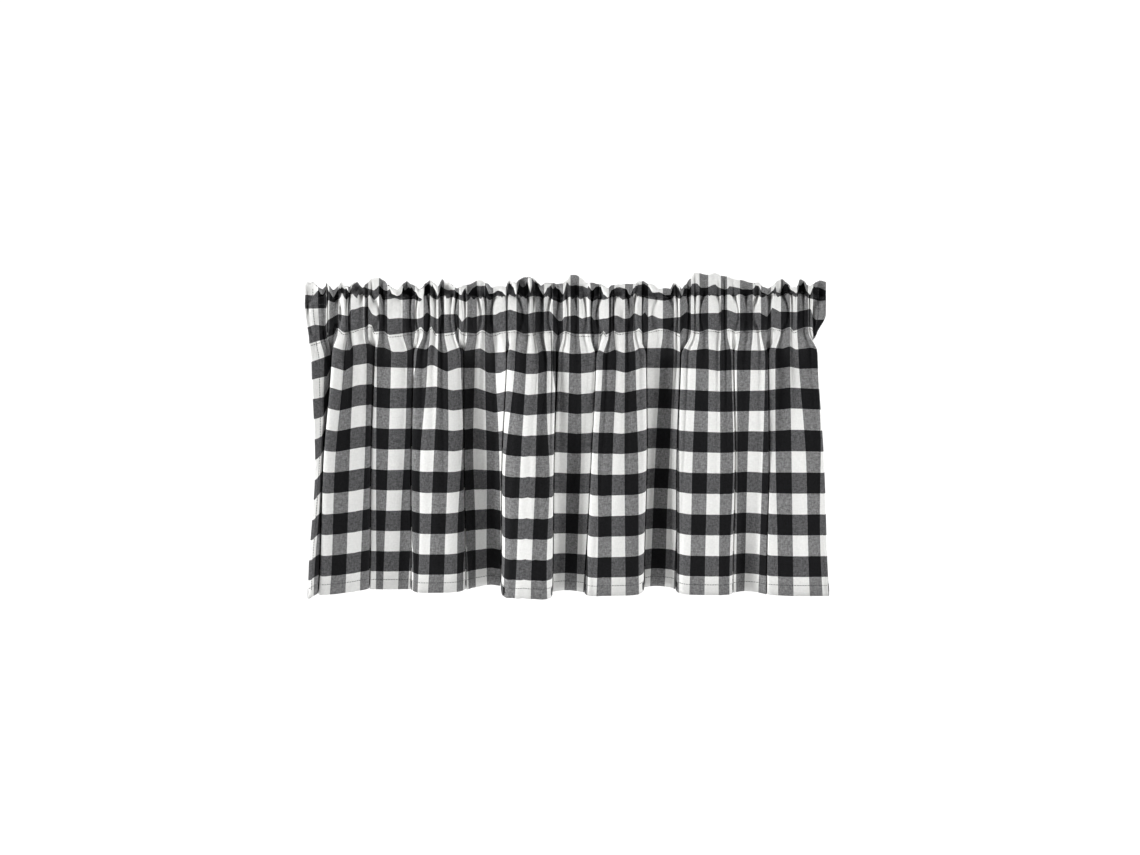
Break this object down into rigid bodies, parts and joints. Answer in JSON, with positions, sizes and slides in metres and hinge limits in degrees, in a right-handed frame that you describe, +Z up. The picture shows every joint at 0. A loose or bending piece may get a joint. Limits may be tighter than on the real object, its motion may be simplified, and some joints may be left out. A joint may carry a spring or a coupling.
{
  "type": "rod pocket window valance",
  "caption": "Gathered cotton window valance in a woven buffalo check, with a ruffled heading, a hollow rod pocket and a hanging pleated skirt.",
  "frame": {"origin": "middle of the upper row of stitches, the top edge of the rod pocket, where the valance hangs", "axes": "+X along the rod to the viewer's right, -Y out of the front face, +Z up"},
  "size_m": [0.6265, 0.0623, 0.4025],
  "materials": {
    "check_cotton": "plain woven black and white buffalo check cotton, matt"
  },
  "bodies": {
    "root": {"valance_cloth": "check_cotton"}
  },
  "joints": []
}
